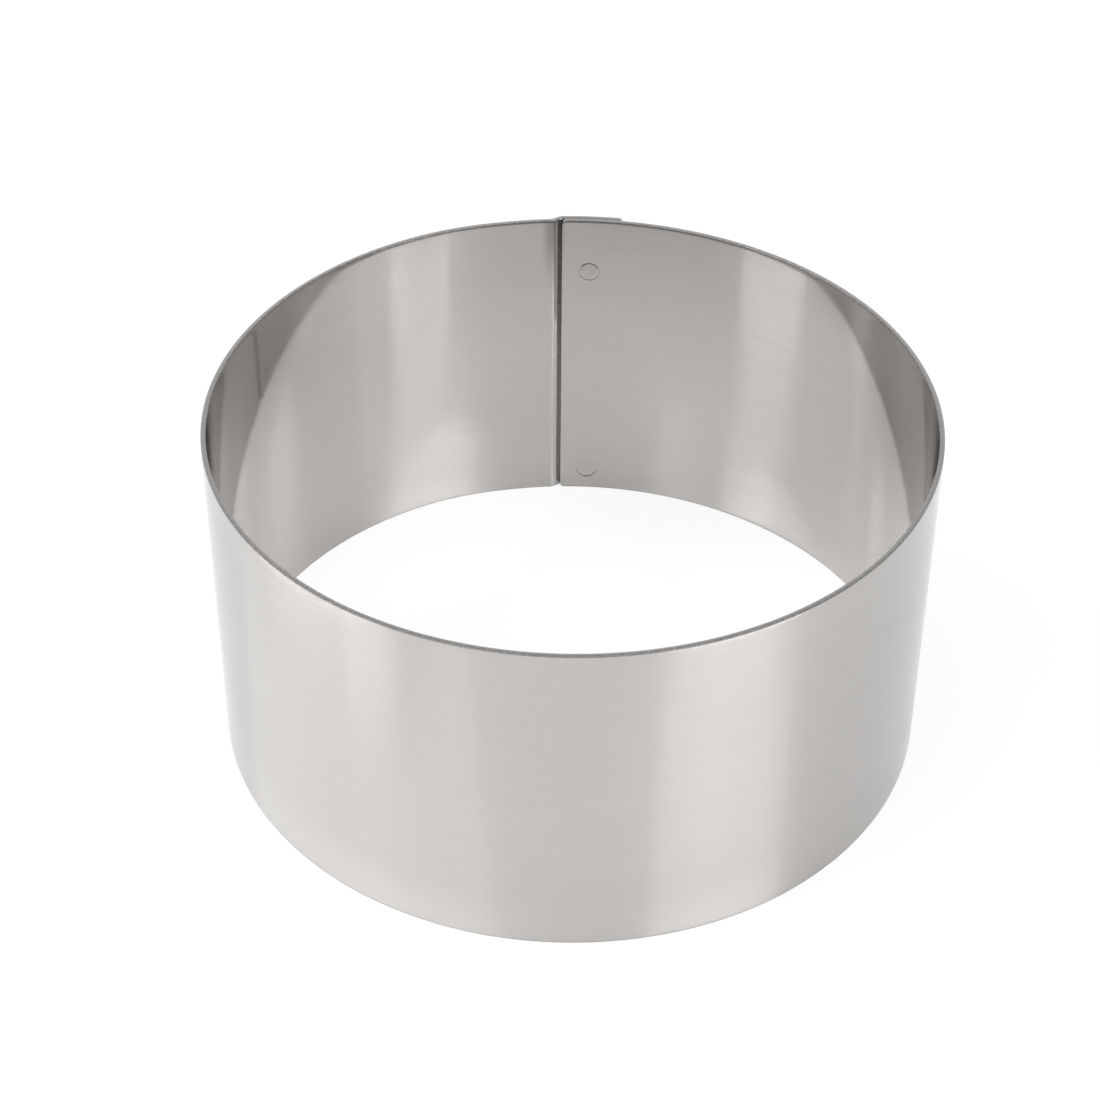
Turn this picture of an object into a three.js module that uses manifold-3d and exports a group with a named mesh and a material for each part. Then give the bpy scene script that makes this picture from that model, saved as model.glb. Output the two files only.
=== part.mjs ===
// A mousse ring: one strip of stainless sheet rolled round, with its outer end stepped over the inner one and
// spot welded to it. Millimetres, +Z up. The origin is on the ring's axis, level with the bottom rim, and the
// seam faces +Y.
import * as THREE from "three";
import { mergeVertices, toCreasedNormals } from "three/addons/utils/BufferGeometryUtils.js";
import Module from "manifold-3d";

// Driving dimensions of the strip and of the ring that it is rolled to
const outerDiameter = 70;
const bandHeight = 35;
const sheetThickness = 0.5;
const rimEdgeRadius = 0.06; // rounding of the slit edges along both rims
const endCornerRadius = 0.4; // corners at the strip's two ends

// Driving dimensions of the lapped seam
const lapLength = 6.25; // how far the outer end reaches past the inner end's edge
const lapClearance = 0.04; // between the two layers of the lap
const stepAngle = THREE.MathUtils.degToRad(30); // of the ramp in the outer end's step
const stepInsideRadius = 0.2; // inside radius of the two bends at the ends of the ramp
const seamGap = 0.05; // from the ramp to the inner end's edge, where they come nearest

// Driving dimensions of the spot welds
const weldDiameter = 2.2;
const weldInset = 2.9; // from the inner end's edge to the welds' centres
const upperWeldDrop = 6.2; // below the top rim
const lowerWeldRise = 2.6; // above the bottom rim
const weldClearance = 0.02; // round each weld, in the holes that it fills
const weldDentDepth = 0.07; // groove that the electrode tips leave round each face
const weldButtonShare = 0.68; // diameter of the raised middle of a face, as a share of the weld's

// How finely round forms are faceted
const roundStep = THREE.MathUtils.degToRad(2);
const bendFacets = 4;
const rimEdgeFacets = 2;
const cornerFacets = 3;
const weldFacets = 32;
const creaseAngle = THREE.MathUtils.degToRad(20);

const bandSteel = { color: 0xbdbbb8, roughness: 0.16, metalness: 1 };
const weldSteel = { color: 0xaeaba7, roughness: 0.24, metalness: 1 };

// Sizes that follow from the driving ones
const fullTurn = 2 * Math.PI;
const outerRadius = outerDiameter / 2;
const halfSheet = sheetThickness / 2;
const innerRadius = outerRadius - sheetThickness;
const middleRadius = outerRadius - halfSheet;
const lapLift = sheetThickness + lapClearance; // how far out the step carries the sheet
const lapOuterRadius = outerRadius + lapLift;
const lapMiddleRadius = outerRadius + lapClearance / 2; // between the two layers
const bendRadius = stepInsideRadius + halfSheet;
const bendRun = bendRadius * Math.sin(stepAngle);
const bendRise = bendRadius * (1 - Math.cos(stepAngle));
const rampRun = (lapLift - 2 * bendRise) / Math.tan(stepAngle);
const stepRun = rampRun + 2 * bendRun;
const clearRise = halfSheet * (1 + Math.cos(stepAngle)); // where the ramp clears the inner end's edge
const clearRun = bendRun + (clearRise - bendRise) / Math.tan(stepAngle) + halfSheet * Math.sin(stepAngle);
const stepStartTurn = fullTurn - (clearRun + seamGap) / middleRadius;
const rampStartTurn = stepStartTurn + bendRun / middleRadius;
const rampEndTurn = rampStartTurn + rampRun / middleRadius;
const stepEndTurn = stepStartTurn + stepRun / middleRadius;
const lapEndTurn = fullTurn + lapLength / outerRadius;
const weldTurn = weldInset / innerRadius;
const overcut = sheetThickness; // how far a cutting tool stands out of what it cuts
const cornerOvercut = seamGap / 4; // the same at a corner, short of the ramp beside the inner end
const layerOvercut = lapClearance / 4; // and between the layers of the lap

const wasm = await Module();
wasm.setup();

function solidOf(geometry) {
  const bare = geometry.clone();
  bare.deleteAttribute("normal");
  bare.deleteAttribute("uv");
  const merged = mergeVertices(bare);
  const vertProperties = new Float32Array(merged.attributes.position.array);
  const triVerts = new Uint32Array(merged.index.array);
  return new wasm.Manifold(new wasm.Mesh({ numProp: 3, vertProperties, triVerts }));
}

function geometryOf(solid) {
  const mesh = solid.getMesh();
  const geometry = new THREE.BufferGeometry();
  geometry.setAttribute("position", new THREE.BufferAttribute(mesh.vertProperties, 3));
  geometry.setIndex(new THREE.BufferAttribute(mesh.triVerts, 1));
  return toCreasedNormals(geometry, creaseAngle);
}

// Turns are angles run along the strip from the inner end's edge at +Y, clockwise from above.
// On the wall at a turn, x runs along the strip, y up and z in towards the ring's axis.
function wallFrame(turn, radius, height) {
  const along = new THREE.Vector3(Math.cos(turn), -Math.sin(turn), 0);
  const inward = new THREE.Vector3(-Math.sin(turn), -Math.cos(turn), 0);
  const frame = new THREE.Matrix4().makeBasis(along, new THREE.Vector3(0, 0, 1), inward);
  return frame.setPosition(radius * Math.sin(turn), radius * Math.cos(turn), height);
}

// How far the step has carried the sheet outward, and how steeply it does, at a length run into the step
function stepAt(run) {
  const fromNearEnd = Math.min(run, stepRun - run);
  const bent = Math.min(fromNearEnd, bendRun);
  const across = Math.sqrt(bendRadius ** 2 - bent ** 2);
  const slope = bent / across;
  const nearRise = bendRadius - across + (fromNearEnd - bent) * slope;
  return { rise: run < stepRun / 2 ? nearRise : lapLift - nearRise, slope };
}

function middleLineAt(turn) {
  if (turn <= stepStartTurn) return { rise: 0, slope: 0 };
  if (turn >= stepEndTurn) return { rise: lapLift, slope: 0 };
  return stepAt((turn - stepStartTurn) * middleRadius);
}

function evenTurns(from, to, mostStep) {
  const count = Math.ceil((to - from) / mostStep);
  return Array.from({ length: count }, (_, i) => from + ((to - from) * i) / count);
}

// The strip seen from above: its outer face from end to end, and its inner face back again
function stripPlan() {
  const turns = [
    ...evenTurns(0, stepStartTurn, roundStep),
    ...evenTurns(stepStartTurn, rampStartTurn, bendRun / middleRadius / bendFacets),
    ...evenTurns(rampStartTurn, rampEndTurn, rampRun / middleRadius),
    ...evenTurns(rampEndTurn, stepEndTurn, bendRun / middleRadius / bendFacets),
    ...evenTurns(stepEndTurn, lapEndTurn, roundStep),
    lapEndTurn,
  ];
  const faceAt = (side) =>
    turns.map((turn) => {
      const { rise, slope } = middleLineAt(turn);
      const offset = (side * halfSheet) / Math.hypot(1, slope);
      const radius = middleRadius + rise + offset;
      const back = offset * slope;
      return new THREE.Vector2(
        radius * Math.sin(turn) - back * Math.cos(turn),
        radius * Math.cos(turn) + back * Math.sin(turn),
      );
    });
  return new THREE.Shape([...faceAt(1), ...faceAt(-1).reverse()]);
}

// What is trimmed off a square corner to round it: the corner is at the origin, the sheet to its upper right
function cornerScrap(depth) {
  const scrap = new THREE.Shape();
  scrap.moveTo(-cornerOvercut, -cornerOvercut);
  scrap.lineTo(endCornerRadius, -cornerOvercut);
  scrap.absarc(endCornerRadius, endCornerRadius, endCornerRadius, -Math.PI / 2, -Math.PI, true);
  scrap.lineTo(-cornerOvercut, endCornerRadius);
  return new THREE.ExtrudeGeometry(scrap, { depth, bevelEnabled: false, curveSegments: cornerFacets });
}

// The four corner trims, each through its own layer of the lap only
function endCornerTrims() {
  const depth = sheetThickness + overcut;
  const ends = [
    { turn: 0, startRadius: outerRadius + layerOvercut, quarterTurns: { bottom: 0, top: 3 } },
    { turn: lapEndTurn, startRadius: lapMiddleRadius + depth, quarterTurns: { bottom: 1, top: 2 } },
  ];
  return ends.flatMap(({ turn, startRadius, quarterTurns }) =>
    [
      { height: 0, quarters: quarterTurns.bottom },
      { height: bandHeight, quarters: quarterTurns.top },
    ].map(({ height, quarters }) =>
      cornerScrap(depth)
        .rotateZ((quarters * Math.PI) / 2)
        .applyMatrix4(wallFrame(turn, startRadius, height)),
    ),
  );
}

function weldHole(height) {
  const length = 2 * (lapLift + overcut);
  const radius = weldDiameter / 2 + weldClearance;
  return new THREE.CylinderGeometry(radius, radius, length, weldFacets)
    .rotateX(Math.PI / 2)
    .applyMatrix4(wallFrame(weldTurn, lapMiddleRadius, height));
}

function rolledBand() {
  const sheet = new THREE.ExtrudeGeometry(stripPlan(), {
    depth: bandHeight - 2 * rimEdgeRadius,
    bevelThickness: rimEdgeRadius,
    bevelSize: rimEdgeRadius,
    bevelOffset: -rimEdgeRadius,
    bevelSegments: rimEdgeFacets,
  }).translate(0, 0, rimEdgeRadius);
  const cutters = [...endCornerTrims(), ...weldHeights.map(weldHole)];
  return geometryOf(cutters.reduce((band, cutter) => band.subtract(solidOf(cutter)), solidOf(sheet)));
}

// A nugget through both layers, with an electrode's groove and raised button on each face
function spotWeld(height) {
  const radius = weldDiameter / 2;
  const buttonRadius = radius * weldButtonShare;
  const outerFace = lapOuterRadius - lapMiddleRadius;
  const innerFace = lapMiddleRadius - innerRadius;
  const profile = [
    [0, -outerFace],
    [buttonRadius, -outerFace],
    [(buttonRadius + radius) / 2, weldDentDepth - outerFace],
    [radius, weldDentDepth - outerFace],
    [radius, innerFace - weldDentDepth],
    [(buttonRadius + radius) / 2, innerFace - weldDentDepth],
    [buttonRadius, innerFace],
    [0, innerFace],
  ].map(([x, y]) => new THREE.Vector2(x, y));
  const nugget = new THREE.LatheGeometry(profile, weldFacets)
    .rotateX(Math.PI / 2)
    .applyMatrix4(wallFrame(weldTurn, lapMiddleRadius, height));
  return geometryOf(solidOf(nugget));
}

function piece(name, geometry, finish) {
  const mesh = new THREE.Mesh(geometry, new THREE.MeshStandardMaterial(finish));
  mesh.name = name;
  return mesh;
}

const upperWeldHeight = bandHeight - upperWeldDrop;
const weldHeights = [upperWeldHeight, lowerWeldRise];

const mousseRing = new THREE.Group();
mousseRing.add(piece("rolled_band", rolledBand(), bandSteel));
mousseRing.add(piece("upper_spot_weld", spotWeld(upperWeldHeight), weldSteel));
mousseRing.add(piece("lower_spot_weld", spotWeld(lowerWeldRise), weldSteel));

export default mousseRing;
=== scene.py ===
import math

import bmesh
import bpy
from mathutils import Matrix, Vector, noise


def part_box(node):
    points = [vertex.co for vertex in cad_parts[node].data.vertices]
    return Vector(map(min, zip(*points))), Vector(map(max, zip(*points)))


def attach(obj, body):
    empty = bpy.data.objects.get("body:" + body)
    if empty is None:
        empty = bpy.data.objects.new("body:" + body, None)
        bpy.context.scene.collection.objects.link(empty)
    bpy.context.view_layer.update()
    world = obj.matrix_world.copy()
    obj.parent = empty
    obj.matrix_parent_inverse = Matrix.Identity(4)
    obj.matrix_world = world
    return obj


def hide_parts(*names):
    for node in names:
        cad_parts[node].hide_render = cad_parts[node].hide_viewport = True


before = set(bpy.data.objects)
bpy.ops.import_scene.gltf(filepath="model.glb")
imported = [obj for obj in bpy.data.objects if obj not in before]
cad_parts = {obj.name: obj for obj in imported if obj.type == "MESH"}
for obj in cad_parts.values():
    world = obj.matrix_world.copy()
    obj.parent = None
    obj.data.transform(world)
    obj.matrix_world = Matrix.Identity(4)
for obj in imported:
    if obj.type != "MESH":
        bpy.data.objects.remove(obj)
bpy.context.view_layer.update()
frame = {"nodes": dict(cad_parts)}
print("frame loaded:", ", ".join(frame["nodes"]))

# Sizes that the frame gives: the ring's radius and height
bandLow, bandHigh = (Vector(corner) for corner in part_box("rolled_band"))
outerRadius = (bandHigh.x - bandLow.x) / 2
bandHeight = bandHigh.z
upAxis = Vector((0, 0, 1))


def addPiece(name, bm, materials):
    mesh = bpy.data.meshes.new(name)
    bm.to_mesh(mesh)
    bm.free()
    for material in materials:
        mesh.materials.append(material)
    piece = bpy.data.objects.new(name, mesh)
    bpy.context.scene.collection.objects.link(piece)
    return piece


def bakeModifiers(piece):
    graph = bpy.context.evaluated_depsgraph_get()
    finished = bpy.data.meshes.new_from_object(piece.evaluated_get(graph), depsgraph=graph)
    piece.modifiers.clear()
    rough, piece.data = piece.data, finished
    bpy.data.meshes.remove(rough)
    finished.name = piece.name


def shadeSmooth(piece, creaseDegrees):
    piece.data.shade_smooth()
    piece.data.set_sharp_from_angle(angle=math.radians(creaseDegrees))
    broadFaces = piece.modifiers.new("broadFaces", "WEIGHTED_NORMAL")
    broadFaces.keep_sharp = True
    bakeModifiers(piece)


# Material nodes
noiseLimits = (0.3, 0.7)  # most values of a noise texture lie between these


def newMaterial(name):
    material = bpy.data.materials.new(name)
    material.use_nodes = True
    material.node_tree.nodes.clear()
    return material, material.node_tree


# An input that is another node's socket is linked to it, any other value is set
def addNode(tree, kind, inputs=None, **settings):
    node = tree.nodes.new("ShaderNode" + kind)
    for key, value in settings.items():
        setattr(node, key, value)
    for key, value in (inputs or {}).items():
        if isinstance(value, bpy.types.NodeSocket):
            tree.links.new(value, node.inputs[key])
        else:
            node.inputs[key].default_value = value
    return node


def calculate(tree, operation, *terms):
    return addNode(tree, "Math", dict(enumerate(terms)), operation=operation).outputs[0]


def lengthOf(tree, vector):
    return addNode(tree, "VectorMath", {0: vector}, operation="LENGTH").outputs["Value"]


def mixColours(tree, share, first, second):
    inputs = {"Factor": share, "A": first, "B": second}
    return addNode(tree, "Mix", inputs, data_type="RGBA").outputs["Result"]


def remap(tree, value, limits, levels, curve):
    inputs = {
        "Value": value, "From Min": limits[0], "From Max": limits[1],
        "To Min": levels[0], "To Max": levels[1],
    }
    return addNode(tree, "MapRange", inputs, interpolation_type=curve).outputs[0]


def ease(tree, value, limits, levels):
    return remap(tree, value, limits, levels, "SMOOTHSTEP")


def spread(tree, pattern, levels):
    return remap(tree, pattern, noiseLimits, levels, "LINEAR")


def stretchedNoise(tree, place, scale, detail, roughness):
    mapping = addNode(tree, "Mapping", {"Vector": place, "Scale": scale})
    texture = addNode(
        tree, "TexNoise",
        {"Vector": mapping.outputs[0], "Scale": 1.0, "Detail": detail, "Roughness": roughness},
    )
    return texture.outputs["Fac"]


# One at both rims, falling to zero over a reach up or down the wall
def nearRims(tree, place, reach):
    height = addNode(tree, "SeparateXYZ", {0: place}).outputs["Z"]
    halfHeight = bandHeight / 2
    fromMiddle = calculate(tree, "ABSOLUTE", calculate(tree, "SUBTRACT", height, halfHeight))
    return ease(tree, fromMiddle, (halfHeight - reach, halfHeight), (0, 1))


# Steel that a pattern of pits makes uneven and dull
def pittedSteel(tree, colour, pits, finish):
    bump = addNode(
        tree, "Bump", {"Height": pits, "Distance": finish["depth"], "Strength": finish["strength"]},
    )
    steel = addNode(
        tree, "BsdfPrincipled",
        {
            "Base Color": colour, "Metallic": 1.0,
            "Roughness": spread(tree, pits, finish["rough"]), "Normal": bump.outputs[0],
        },
    )
    addNode(tree, "OutputMaterial", {"Surface": steel.outputs[0]})


# Rolled sheet: a clear mirror under a haze that the rolling grain throws up and down
rolledSteel = {
    "pale": (0.497, 0.481, 0.469, 1), "dark": (0.469, 0.453, 0.441, 1),
    "mirrorRough": (0.06, 0.09), "hazeRough": (0.34, 0.38),
    "hazeShare": 0.1, "hazeStretch": 1.0, "hazeTurn": 0.25,
    "grain": {"scale": (60, 60, 9000), "detail": 3, "roughness": 0.6},
    "grainDepth": 0.0001, "grainStrength": 0.006,
    "blotch": {"scale": (90, 90, 90), "detail": 4, "roughness": 0.6},
    # darker along both rims, within a reach of them
    "rimDark": (0.2, 0.194, 0.188, 1), "rimDarkReach": 0.00015,
    # painted shade on the inner face, beside the seam's top, standing in for the dark that the seam's
    # slanted face reflects
    "paintedSeamShade": (0.27, 0.261, 0.253, 1),
    "paintedSeamShadeAt": (-0.0009, 0.0345, 0.035), "paintedSeamShadeReach": (0.0016, 0.0004, 0.0105),
}


def makeRolledSteel():
    material, tree = newMaterial("rolledSteel")
    place = addNode(tree, "TexCoord").outputs["Object"]
    blotch = stretchedNoise(tree, place, **rolledSteel["blotch"])
    grain = stretchedNoise(tree, place, **rolledSteel["grain"])
    sheet = mixColours(tree, spread(tree, grain, (0, 1)), rolledSteel["dark"], rolledSteel["pale"])
    # darker within a reach of both rims
    edged = mixColours(tree, nearRims(tree, place, rolledSteel["rimDarkReach"]), sheet, rolledSteel["rimDark"])
    # painted shade beside the seam's top, darkest at its middle and fading out over its reach
    fromPaintedSeamShade = addNode(
        tree, "Mapping",
        {"Vector": place, "Location": rolledSteel["paintedSeamShadeAt"], "Scale": rolledSteel["paintedSeamShadeReach"]},
        vector_type="TEXTURE",
    )
    paintedSeamShade = ease(tree, lengthOf(tree, fromPaintedSeamShade.outputs[0]), (0, 1), (1, 0))
    bump = addNode(
        tree, "Bump",
        {"Height": grain, "Distance": rolledSteel["grainDepth"], "Strength": rolledSteel["grainStrength"]},
    )
    along = addNode(tree, "VectorMath", {0: place, 1: upAxis}, operation="CROSS_PRODUCT")
    shared = {
        "Base Color": mixColours(tree, paintedSeamShade, edged, rolledSteel["paintedSeamShade"]),
        "Metallic": 1.0, "Normal": bump.outputs[0],
    }
    mirror = addNode(
        tree, "BsdfPrincipled", {**shared, "Roughness": spread(tree, blotch, rolledSteel["mirrorRough"])},
    )
    haze = addNode(
        tree, "BsdfPrincipled",
        {
            **shared, "Roughness": spread(tree, blotch, rolledSteel["hazeRough"]),
            "Anisotropic": rolledSteel["hazeStretch"], "Anisotropic Rotation": rolledSteel["hazeTurn"],
            "Tangent": along.outputs[0],
        },
    )
    mix = addNode(
        tree, "MixShader", {0: rolledSteel["hazeShare"], 1: mirror.outputs[0], 2: haze.outputs[0]},
    )
    addNode(tree, "OutputMaterial", {"Surface": mix.outputs[0]})
    return material


# Slit edges: the sheared rims, and the ends and weld holes away from them, darkened with painted shade for
# the shade in the seam's groove and round the welds
slitEdge = {
    "pale": (0.555, 0.541, 0.53, 1), "dark": (0.53, 0.516, 0.505, 1),
    # painted shade: the colour away from the rims, and how far from them it starts
    "end": (0.33, 0.32, 0.311, 1), "paintedShadeFrom": 0.0003,
    "tear": {"scale": (1800, 1800, 1800), "detail": 4, "roughness": 0.65},
    "rough": (0.22, 0.3), "depth": 0.00005, "strength": 0.002,
}


def makeSlitEdge():
    material, tree = newMaterial("slitEdge")
    place = addNode(tree, "TexCoord").outputs["Object"]
    tear = stretchedNoise(tree, place, **slitEdge["tear"])
    rim = mixColours(tree, spread(tree, tear, (0, 1)), slitEdge["dark"], slitEdge["pale"])
    # painted shade on the ends and weld holes, away from the rims
    colour = mixColours(tree, nearRims(tree, place, slitEdge["paintedShadeFrom"]), slitEdge["end"], rim)
    pittedSteel(tree, colour, tear, slitEdge)
    return material


# Weld faces: steel pressed and dulled by the electrode
weldFace = {
    "pale": (0.487, 0.473, 0.461, 1), "dark": (0.43, 0.416, 0.402, 1),
    "crust": {"scale": (2200, 2200, 2200), "detail": 5, "roughness": 0.6},
    "rough": (0.12, 0.22), "depth": 0.00005, "strength": 0.16,
}


def makeWeldFace():
    material, tree = newMaterial("weldFace")
    place = addNode(tree, "TexCoord").outputs["Object"]
    crust = stretchedNoise(tree, place, **weldFace["crust"])
    colour = mixColours(tree, spread(tree, crust, (0, 1)), weldFace["dark"], weldFace["pale"])
    pittedSteel(tree, colour, crust, weldFace)
    return material


bandFinishes = [makeRolledSteel(), makeSlitEdge()]
edgeSlot = 1  # where the slit edge is among the band's finishes
weldFinish = makeWeldFace()
print("materials made")

# Band: the strip, its stepped lap and the holes that the welds fill
band = {
    "sheet": 0.0005, "lapGap": 0.00004, "lapLength": 0.00625,
    "stepDegrees": 29, "stepBend": 0.00035, "lapBend": 0.00045, "seamGap": 0.00005,
    "endCorner": 0.0004, "edgeRound": 0.000035, "edgeFacets": 3, "edgeDegrees": 60, "creaseDegrees": 35,
    "rows": 12, "columnDegrees": 1, "bendColumns": 6, "cornerColumns": 6,
    "waveDepth": 0.000012, "waveLength": 0.016,
    # how the sheet thins towards a rim: distance from it and share of the thickness
    "rimFall": [(0.000001, 0.92), (0.00012, 0.962), (0.0003, 0.987), (0.0006, 0.998)],
    # out of round: degrees from the seam towards +X, and how far the wall stands out there
    "flanks": [(-80, 0), (-24, 0.00024), (-6, 0), (9, 0), (56, 0.00009), (84, 0)],
}
halfSheet = band["sheet"] / 2
middleRadius = outerRadius - halfSheet
lapLift = band["sheet"] + band["lapGap"]
stepAngle = math.radians(band["stepDegrees"])
stepSlope = math.tan(stepAngle)
stepBendRun = band["stepBend"] * math.sin(stepAngle)
stepBendRise = band["stepBend"] * (1 - math.cos(stepAngle))
lapBendRun = band["lapBend"] * math.sin(stepAngle)
lapBendRise = band["lapBend"] * (1 - math.cos(stepAngle))
rampEnd = stepBendRun + (lapLift - stepBendRise - lapBendRise) / stepSlope
stepRun = rampEnd + lapBendRun
clearRise = halfSheet * (1 + math.cos(stepAngle))  # where the ramp clears the inner end's edge
clearRun = stepBendRun + (clearRise - stepBendRise) / stepSlope + halfSheet * math.sin(stepAngle)
stripLength = 2 * math.pi * middleRadius + band["lapLength"]  # runs go clockwise from the inner end's edge
stepStart = 2 * math.pi * middleRadius - clearRun - band["seamGap"]


# How far out the step has carried the sheet, at a run into the step
def stepRise(run):
    left = stepRun - run
    if run <= 0 or left <= 0:
        return 0 if run <= 0 else lapLift
    if run < stepBendRun:
        return band["stepBend"] - math.sqrt(band["stepBend"] ** 2 - run ** 2)
    if run < rampEnd:
        return stepBendRise + (run - stepBendRun) * stepSlope
    return lapLift - band["lapBend"] + math.sqrt(band["lapBend"] ** 2 - left ** 2)


def smoothstep(share):
    return share * share * (3 - 2 * share)


def flankRise(degrees):
    for (fromDegrees, fromRise), (toDegrees, toRise) in zip(band["flanks"], band["flanks"][1:]):
        if fromDegrees <= degrees < toDegrees:
            share = smoothstep((degrees - fromDegrees) / (toDegrees - fromDegrees))
            return fromRise + (toRise - fromRise) * share
    return 0


def evenRuns(start, end, count):
    return [start + (end - start) * i / count for i in range(1, count + 1)]


def columnRuns():
    corner = band["endCorner"]
    column = middleRadius * math.radians(band["columnDegrees"])
    arc = [corner * (1 - math.cos(math.pi / 2 * share)) for share in evenRuns(0, 1, band["cornerColumns"])]
    stepEnd, tipStart = stepStart + stepRun, stripLength - corner
    return (
        [0] + arc
        + evenRuns(corner, stepStart, math.ceil((stepStart - corner) / column))
        + evenRuns(stepStart, stepStart + stepBendRun, 2 * band["bendColumns"])
        + evenRuns(stepStart + stepBendRun, stepStart + rampEnd, band["bendColumns"])
        + evenRuns(stepStart + rampEnd, stepEnd, band["bendColumns"])
        + evenRuns(stepEnd, tipStart, math.ceil((tipStart - stepEnd) / column))
        + [stripLength - run for run in reversed([0] + arc[:-1])]
    )


# Heights up a column, with the share of the thickness there, and with its ends cut back by a rounded corner
def columnRows(run):
    corner = band["endCorner"]
    fromTip = max(corner - min(run, stripLength - run), 0)
    cutBack = corner - math.sqrt(corner ** 2 - fromTip ** 2)
    low = [(distance + cutBack, share) for distance, share in band["rimFall"]]
    high = [(bandHeight - height, share) for height, share in reversed(low)]
    middle = evenRuns(low[-1][0], high[0][0], band["rows"])[:-1]
    return low + [(height, 1) for height in middle] + high


def placeColumn(verts, run, shares):
    radius = middleRadius + stepRise(run - stepStart)
    turn = run / middleRadius
    for v, (height, share) in zip(sorted(verts, key=lambda v: v.co.z), columnRows(run)):
        v.co = (radius * math.sin(turn), radius * math.cos(turn), height)
        v[shares][0] = share


def rollBand():
    bm = bmesh.new()
    shares = bm.verts.layers.deform.verify()
    verts = [bm.verts.new((0, 0, height)) for height, share in columnRows(0)]
    edges = [bm.edges.new(pair) for pair in zip(verts, verts[1:])]
    first, *others = columnRuns()
    placeColumn(verts, first, shares)
    for run in others:
        grown = bmesh.ops.extrude_edge_only(bm, edges=edges)["geom"]
        edges = [part for part in grown if isinstance(part, bmesh.types.BMEdge)]
        verts = [part for part in grown if isinstance(part, bmesh.types.BMVert)]
        placeColumn(verts, run, shares)
    bmesh.ops.recalc_face_normals(bm, faces=bm.faces)
    inside = [face for face in bm.faces if face.normal.dot(face.calc_center_median()) < 0]
    bmesh.ops.reverse_faces(bm, faces=inside)
    for v in bm.verts:
        wave = (noise.noise(v.co / band["waveLength"]) - 1) * band["waveDepth"]
        rise = flankRise(math.degrees(math.atan2(v.co.x, v.co.y)))
        v.co += Vector((v.co.x, v.co.y, 0)).normalized() * (wave + rise)
    return bm


def makeBand():
    piece = addPiece("rolledBand", rollBand(), bandFinishes)
    wall = piece.modifiers.new("sheet", "SOLIDIFY")
    wall.vertex_group = piece.vertex_groups.new(name="thickness").name
    wall.thickness = band["sheet"]
    wall.offset = 0
    wall.use_even_offset = True
    wall.material_offset_rim = edgeSlot
    edges = piece.modifiers.new("edges", "BEVEL")
    edges.width = band["edgeRound"]
    edges.segments = band["edgeFacets"]
    edges.limit_method = "ANGLE"
    edges.angle_limit = math.radians(band["edgeDegrees"])
    cutters = [weldCutter(node) for node in weldNodes.values()]
    for cutter in cutters:
        hole = piece.modifiers.new("weldHole", "BOOLEAN")
        hole.object = cutter
    bakeModifiers(piece)
    for cutter in cutters:
        bpy.data.objects.remove(cutter)
    shadeSmooth(piece, band["creaseDegrees"])
    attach(piece, "root")
    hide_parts("rolled_band")
    print("band rolled:", len(piece.data.polygons), "faces")


# Welds: nuggets through both layers, each face pressed into a groove round a flat button
weld = {
    "diameter": 0.0022, "clearance": 0.00002, "facets": 64, "rings": 24, "creaseDegrees": 40,
    # where the button ends and where the groove is deepest, as shares of the radius
    "button": 0.78, "groove": 0.94,
    # the groove's least and greatest depth, and the length over which it changes
    "dent": (0.000008, 0.00005), "dentSize": 0.0009,
    "bump": 0.000012, "bumpSize": 0.00035,
    # how deep the electrode went in at the upper right, falling to nothing at the lower left
    "lean": {"upper_spot_weld": 0.00002, "lower_spot_weld": 0.00006},
}
weldNodes = {"upperSpotWeld": "upper_spot_weld", "lowerSpotWeld": "lower_spot_weld"}
mergeDistance = 1e-7


# On a weld, x runs along the strip, y up and z in towards the ring's axis
def weldPlace(node):
    low, high = (Vector(corner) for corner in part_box(node))
    middle = (low + high) / 2
    turn = math.atan2(middle.x, middle.y)
    reach = outerRadius + band["lapGap"] / 2
    inward = Vector((-math.sin(turn), -math.cos(turn), 0))
    along = Vector((math.cos(turn), -math.sin(turn), 0))
    place = Matrix((along, upAxis, inward)).transposed().to_4x4()
    place.translation = -inward * reach + upAxis * middle.z
    return place


def weldCutter(node):
    bm = bmesh.new()
    radius = weld["diameter"] / 2 + weld["clearance"]
    bmesh.ops.create_cone(
        bm, cap_ends=True, segments=weld["facets"], radius1=radius, radius2=radius,
        depth=4 * lapLift, matrix=weldPlace(node),
    )
    for face in bm.faces:
        face.material_index = edgeSlot
    return addPiece("cutter", bm, bandFinishes)


def pressWeld(node):
    bm = bmesh.new()
    radius = weld["diameter"] / 2
    half = lapLift - band["lapGap"] / 2
    profile = [(0, half)] + [(radius * share, half) for share in evenRuns(0, 1, weld["rings"])]
    points = profile + [(x, -z) for x, z in reversed(profile)]
    verts = [bm.verts.new((x, 0, z)) for x, z in points]
    edges = [bm.edges.new(pair) for pair in zip(verts, verts[1:])]
    bmesh.ops.spin(
        bm, geom=verts + edges, axis=upAxis, angle=2 * math.pi, steps=weld["facets"], use_merge=True,
    )
    bmesh.ops.remove_doubles(bm, verts=bm.verts, dist=mergeDistance)
    bmesh.ops.recalc_face_normals(bm, faces=bm.faces)
    place = weldPlace(node)
    lean = weld["lean"][node]
    shallow, deep = weld["dent"]
    for v in bm.verts:
        spot = place @ v.co
        fall = (v.co.xy.length / radius - weld["button"]) / (weld["groove"] - weld["button"])
        depth = shallow + (deep - shallow) * (noise.noise(spot / weld["dentSize"]) + 1) / 2
        bump = (noise.noise(spot / weld["bumpSize"]) + 1) / 2 * weld["bump"]
        press = lean * (1 + (v.co.x + v.co.y) / (radius * math.sqrt(2))) / 2
        v.co.z -= math.copysign(depth * smoothstep(min(max(fall, 0), 1)) + bump + press, v.co.z)
    bmesh.ops.transform(bm, matrix=place, verts=bm.verts)
    return bm


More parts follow.
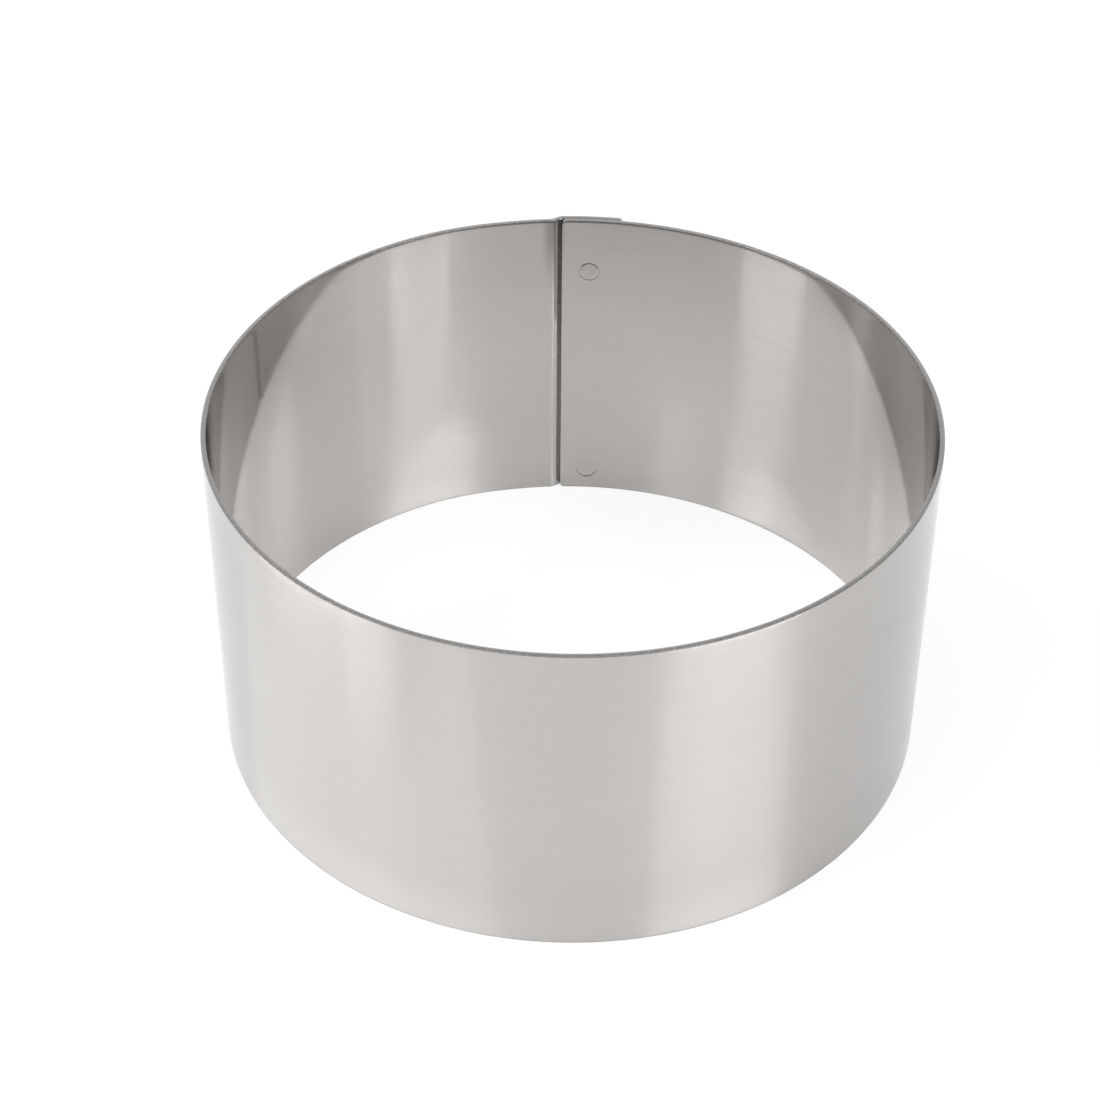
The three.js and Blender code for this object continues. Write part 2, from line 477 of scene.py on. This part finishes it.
def makeWelds():
    for name, node in weldNodes.items():
        piece = addPiece(name, pressWeld(node), [weldFinish])
        shadeSmooth(piece, weld["creaseDegrees"])
        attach(piece, "root")
        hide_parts(node)
    print("welds pressed:", ", ".join(weldNodes))


makeBand()
makeWelds()

# Table: white, with the ring's shadow, and a gloss that shows in the steel only
table = {
    "side": 4.0, "drop": 0.00002, "colour": (0.9, 0.9, 0.9, 1),
    "gloss": 0.8, "rough": 0.28, "coat": 0.6, "coatRough": 0.1,
    # the share of plain white that the camera sees, and from where to where it becomes the whole
    "cameraGlow": 0.8, "plain": (0.12, 0.4),
    # the share in mirrors, and what is left of it at the ring's foot, where less white gives a painted
    # shadow that shows in the steel only
    "glow": 0.48, "paintedShadowGlow": 0.45, "paintedShadowReach": 0.006,
}


def makeTable():
    material, tree = newMaterial("tableWhite")
    path = addNode(tree, "LightPath").outputs
    fromAxis = lengthOf(tree, addNode(tree, "TexCoord").outputs["Object"])
    fromFoot = calculate(tree, "ABSOLUTE", calculate(tree, "SUBTRACT", fromAxis, middleRadius))
    # painted shadow round the ring's foot: less plain white in mirrors near it
    paintedShadowLevels = (table["paintedShadowGlow"] * table["glow"], table["glow"])
    mirrored = ease(tree, fromFoot, (0, table["paintedShadowReach"]), paintedShadowLevels)
    seen = ease(tree, fromAxis, table["plain"], (table["cameraGlow"], 1))
    share = calculate(
        tree, "MAXIMUM",
        calculate(tree, "MULTIPLY", path["Is Camera Ray"], seen),
        calculate(tree, "MULTIPLY", path["Is Glossy Ray"], mirrored),
    )
    unseen = calculate(tree, "SUBTRACT", 1, path["Is Camera Ray"])
    lacquer = addNode(
        tree, "BsdfPrincipled",
        {
            "Base Color": table["colour"],
            "Roughness": table["rough"], "Coat Roughness": table["coatRough"],
            "Specular IOR Level": calculate(tree, "MULTIPLY", unseen, table["gloss"]),
            "Coat Weight": calculate(tree, "MULTIPLY", unseen, table["coat"]),
        },
    )
    white = addNode(tree, "Emission", {"Color": (1, 1, 1, 1), "Strength": 1.0})
    mix = addNode(tree, "MixShader", {0: share, 1: lacquer.outputs[0], 2: white.outputs[0]})
    addNode(tree, "OutputMaterial", {"Surface": mix.outputs[0]})
    bm = bmesh.new()
    bmesh.ops.create_grid(bm, x_segments=1, y_segments=1, size=table["side"] / 2)
    bmesh.ops.translate(bm, verts=bm.verts, vec=(0, 0, -table["drop"]))
    addPiece("table", bm, [material])


makeTable()

# Room: dark behind the camera and white behind the ring, with a dimmer ceiling
room = {
    "front": 0.05, "back": 0.95, "frontToBack": (-0.1, 0.9),
    "ceiling": 0.46, "ceilingDegrees": (31, 43),
}


def paintRoom():
    world = bpy.data.worlds.new("room")
    world.use_nodes = True
    tree = world.node_tree
    tree.nodes.clear()
    path = addNode(tree, "LightPath").outputs
    way = addNode(tree, "SeparateXYZ", {0: addNode(tree, "TexCoord").outputs["Generated"]}).outputs
    walls = ease(tree, way["Y"], room["frontToBack"], (room["front"], room["back"]))
    heights = [math.sin(math.radians(degrees)) for degrees in room["ceilingDegrees"]]
    ceiling = ease(tree, way["Z"], heights, (1, room["ceiling"]))
    dimmed = calculate(tree, "MULTIPLY", walls, ceiling)
    shown = calculate(tree, "MAXIMUM", dimmed, path["Is Camera Ray"])
    light = addNode(tree, "Background", {"Strength": shown})
    addNode(tree, "OutputWorld", {"Surface": light.outputs[0]})
    bpy.context.scene.world = world


# Soft boxes: degrees from the camera's side towards +X, degrees up, distance, width, height and level
softBoxes = {
    "topBox": (180, 86, 1.0, 0.7, 0.7, 2.35),
    "rightLow": (47.5, 33.8, 1.2, 0.82, 0.06, 32),
    "rightMid": (47, 38, 1.2, 0.57, 0.09, 5.0),
    "rightHigh": (49, 49, 1.2, 0.72, 0.34, 6.0),
    "rightCore": (52, 46, 1.2, 0.44, 0.4, 1.2),
    "leftLow": (-85, 35.3, 1.2, 0.92, 0.06, 30),
    "leftMid": (-66, 38.2, 1.2, 0.32, 0.07, 9.4),
    "leftFill": (-78, 54, 0.6, 0.84, 0.27, 3.9),
}


def hangSoftBoxes():
    middle = Vector((0, 0, bandHeight / 2))
    for name, (azimuth, elevation, distance, width, height, level) in softBoxes.items():
        lamp = bpy.data.lights.new(name, "AREA")
        lamp.shape = "RECTANGLE"
        lamp.size = width
        lamp.size_y = height
        lamp.energy = level * math.pi * width * height
        holder = bpy.data.objects.new(name, lamp)
        turn = math.radians(azimuth)
        lift = math.radians(elevation)
        away = Vector((math.sin(turn) * math.cos(lift), -math.cos(turn) * math.cos(lift), math.sin(lift)))
        holder.location = middle + away * distance
        holder.rotation_euler = away.to_track_quat("Z", "Y").to_euler()
        bpy.context.scene.collection.objects.link(holder)


paintRoom()
hangSoftBoxes()

# Camera: where the photograph was taken from
camera = {
    "place": (-0.00762, -0.19982, 0.17912), "down": 38.782, "turn": -1.59, "roll": 0.283,
    "lens": 85.258, "sensor": 36, "nearest": 0.01,
}


def placeCamera():
    lens = bpy.data.cameras.new("camera")
    lens.lens = camera["lens"]
    lens.sensor_width = camera["sensor"]
    lens.clip_start = camera["nearest"]
    holder = bpy.data.objects.new("camera", lens)
    aim = (
        Matrix.Rotation(math.radians(camera["turn"]), 4, "Z")
        @ Matrix.Rotation(math.radians(90 - camera["down"]), 4, "X")
        @ Matrix.Rotation(math.radians(camera["roll"]), 4, "Z")
    )
    holder.matrix_world = Matrix.Translation(camera["place"]) @ aim
    bpy.context.scene.collection.objects.link(holder)
    bpy.context.scene.camera = holder


placeCamera()
bpy.context.scene.view_settings.view_transform = "Standard"
print("table, light and camera placed")
